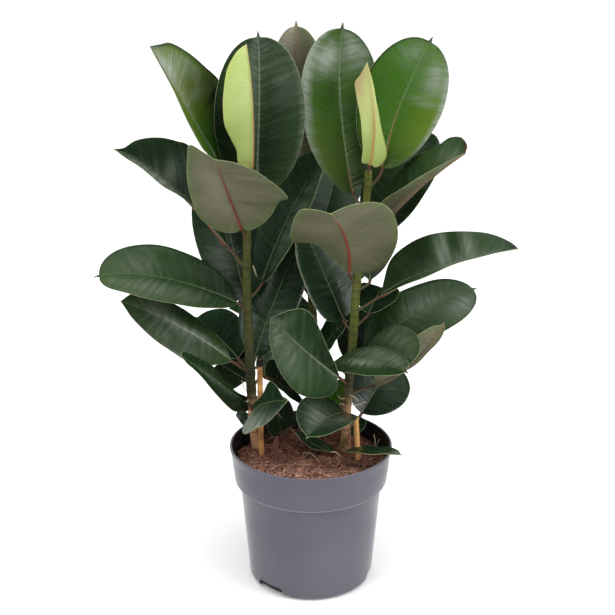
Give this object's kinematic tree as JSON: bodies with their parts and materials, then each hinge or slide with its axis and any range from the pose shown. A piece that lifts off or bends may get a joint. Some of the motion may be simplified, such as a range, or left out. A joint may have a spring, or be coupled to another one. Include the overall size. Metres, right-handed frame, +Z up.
{
  "type": "potted rubber plant",
  "caption": "Upright houseplant with broad leathery dark green leaves on woody stems, rooted in coir soil in a plain grey nursery pot.",
  "frame": {"origin": "centre of the pot's underside", "axes": "+Z up, -Y towards the side that the picture shows"},
  "size_m": [0.5934, 0.4221, 0.8141],
  "materials": {
    "leaf": "waxy, semi-gloss, dark green",
    "young_leaf": "soft, pale yellow-green",
    "bark": "green above, olive to brown bark below",
    "cane": "smooth, orange-brown",
    "husk": "dry, brown",
    "pot": "satin grey",
    "soil": "rough reddish-brown fibre"
  },
  "bodies": {
    "root": {"stem_left": "bark", "stem_right": "bark", "stem_back": "bark", "cane_left": "cane", "cane_right": "cane", "husk_left": "husk", "husk_right": "husk", "pot": "pot", "soil": "soil", "leaf_left_01": "young_leaf", "leaf_left_02": "leaf", "leaf_left_03": "leaf", "leaf_left_04": "leaf", "leaf_left_05": "leaf", "leaf_left_06": "leaf", "leaf_left_07": "leaf", "leaf_left_08": "leaf", "leaf_left_09": "leaf", "leaf_left_10": "leaf", "leaf_left_11": "leaf", "leaf_left_12": "leaf", "leaf_left_13": "leaf", "leaf_left_14": "leaf", "leaf_left_15": "leaf", "leaf_left_16": "leaf", "leaf_left_17": "leaf", "leaf_left_18": "leaf", "leaf_right_01": "young_leaf", "leaf_right_02": "leaf", "leaf_right_03": "leaf", "leaf_right_04": "leaf", "leaf_right_05": "leaf", "leaf_right_06": "leaf", "leaf_right_07": "leaf", "leaf_right_08": "leaf", "leaf_right_09": "leaf", "leaf_right_10": "leaf", "leaf_right_11": "leaf", "leaf_right_12": "leaf", "leaf_right_13": "leaf", "leaf_right_14": "leaf", "leaf_right_15": "leaf", "leaf_right_16": "leaf", "leaf_right_17": "leaf", "leaf_right_18": "leaf", "leaf_right_19": "leaf", "leaf_right_20": "leaf", "leaf_right_21": "leaf", "leaf_right_22": "leaf", "leaf_back_01": "leaf", "leaf_back_02": "leaf", "leaf_back_03": "leaf", "leaf_back_04": "leaf", "leaf_back_05": "leaf", "leaf_back_06": "leaf", "leaf_back_07": "leaf", "leaf_back_08": "leaf"}
  },
  "joints": []
}
